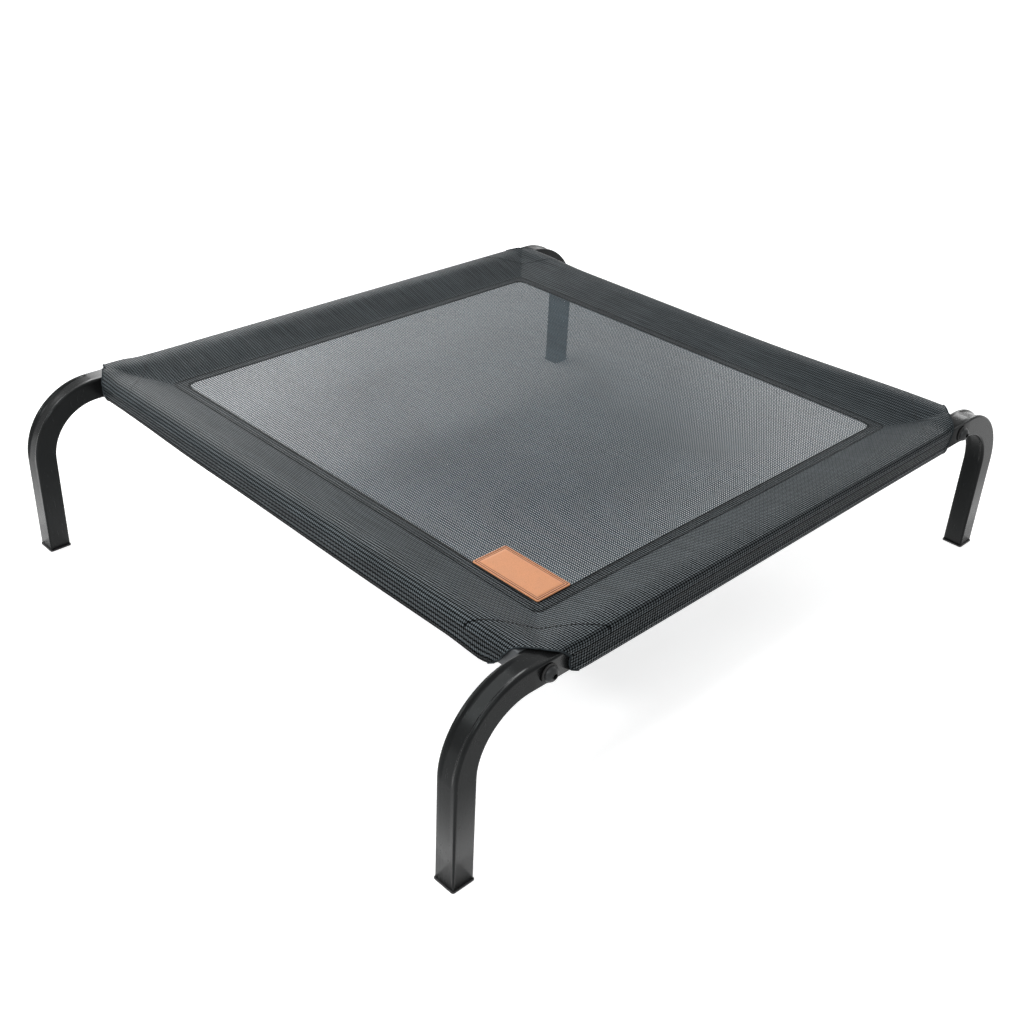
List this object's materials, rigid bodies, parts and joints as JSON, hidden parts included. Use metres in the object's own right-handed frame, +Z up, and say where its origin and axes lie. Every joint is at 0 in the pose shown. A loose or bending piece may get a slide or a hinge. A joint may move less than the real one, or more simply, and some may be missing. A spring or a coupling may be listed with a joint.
{
  "type": "raised dog bed",
  "caption": "Raised dog bed: a square-tube steel frame on bent legs carries a stretched mesh sheet with sewn sleeves and a bare leather label.",
  "frame": {"origin": "on the floor, under the middle of the bed", "axes": "+X along the side rails, from one pair of legs to the other; +Y along the cross rails, towards the rear; +Z up"},
  "size_m": [0.9116, 0.7766, 0.2073],
  "materials": {
    "powder_coat": "semi-gloss black powder coat on bent steel tube",
    "black_plastic": "moulded black plastic foot cap",
    "black_rubber": "black rubber washer",
    "black_steel": "black-oxide socket bolt",
    "grey_nylon": "nylon insert with a thread",
    "mesh_cloth": "open plain weave of coated polyester yarn, dark grey",
    "tan_leather": "tan leather with a stitched edge"
  },
  "bodies": {
    "root": {"leg_front_left": "powder_coat", "foot_cap_front_left": "black_plastic", "washer_front_left": "black_rubber", "bolt_front_left": "black_steel", "rail_insert_front_left": "grey_nylon", "leg_front_right": "powder_coat", "foot_cap_front_right": "black_plastic", "washer_front_right": "black_rubber", "bolt_front_right": "black_steel", "rail_insert_front_right": "grey_nylon", "leg_rear_left": "powder_coat", "foot_cap_rear_left": "black_plastic", "washer_rear_left": "black_rubber", "bolt_rear_left": "black_steel", "rail_insert_rear_left": "grey_nylon", "leg_rear_right": "powder_coat", "foot_cap_rear_right": "black_plastic", "washer_rear_right": "black_rubber", "bolt_rear_right": "black_steel", "rail_insert_rear_right": "grey_nylon", "side_rail_front": "powder_coat", "side_rail_rear": "powder_coat", "cross_rail_left": "powder_coat", "cross_rail_right": "powder_coat", "fabric_cover": "mesh_cloth", "leather_label": "tan_leather"}
  },
  "joints": []
}
